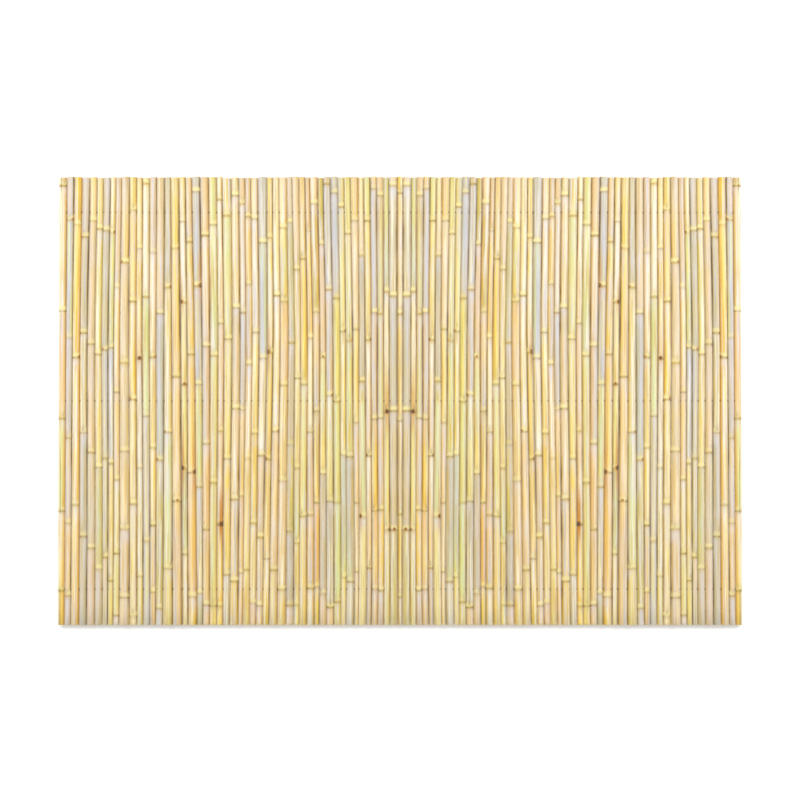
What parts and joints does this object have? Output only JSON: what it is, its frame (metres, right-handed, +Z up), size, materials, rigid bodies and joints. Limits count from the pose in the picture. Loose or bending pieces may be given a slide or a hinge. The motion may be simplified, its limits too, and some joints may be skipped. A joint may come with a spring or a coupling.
{
  "type": "bamboo cane border screen",
  "caption": "Flat edging screen of upright bamboo canes side by side, threaded on three wires drilled through every cane.",
  "frame": {"origin": "centre of the panel on the floor it lies on", "axes": "+X across the canes, +Y along them towards their top ends, +Z up, out of the face that the picture shows"},
  "size_m": [1.5264, 1, 0.0225],
  "materials": {
    "cane": "satin",
    "wire": "satin"
  },
  "bodies": {
    "root": {"cane_pair_01": "cane", "cane_pair_02": "cane", "cane_pair_03": "cane", "cane_pair_04": "cane", "cane_pair_05": "cane", "cane_pair_06": "cane", "cane_pair_07": "cane", "cane_pair_08": "cane", "cane_pair_09": "cane", "cane_pair_10": "cane", "cane_pair_11": "cane", "cane_pair_12": "cane", "cane_pair_13": "cane", "cane_pair_14": "cane", "cane_pair_15": "cane", "cane_pair_16": "cane", "cane_pair_17": "cane", "cane_pair_18": "cane", "cane_pair_19": "cane", "cane_pair_20": "cane", "cane_pair_21": "cane", "cane_pair_22": "cane", "cane_pair_23": "cane", "cane_pair_24": "cane", "cane_pair_25": "cane", "cane_pair_26": "cane", "cane_pair_27": "cane", "cane_pair_28": "cane", "cane_pair_29": "cane", "cane_pair_30": "cane", "cane_pair_31": "cane", "cane_pair_32": "cane", "cane_pair_33": "cane", "cane_pair_34": "cane", "cane_pair_35": "cane", "cane_pair_36": "cane", "cane_pair_37": "cane", "cane_pair_38": "cane", "cane_pair_39": "cane", "cane_pair_40": "cane", "cane_pair_41": "cane", "cane_pair_42": "cane", "cane_pair_43": "cane", "cane_pair_44": "cane", "cane_pair_45": "cane", "cane_pair_46": "cane", "cane_pair_47": "cane", "cane_pair_48": "cane", "cane_pair_49": "cane", "middle_cane": "cane", "wire_bottom": "wire", "wire_middle": "wire", "wire_top": "wire"}
  },
  "joints": []
}
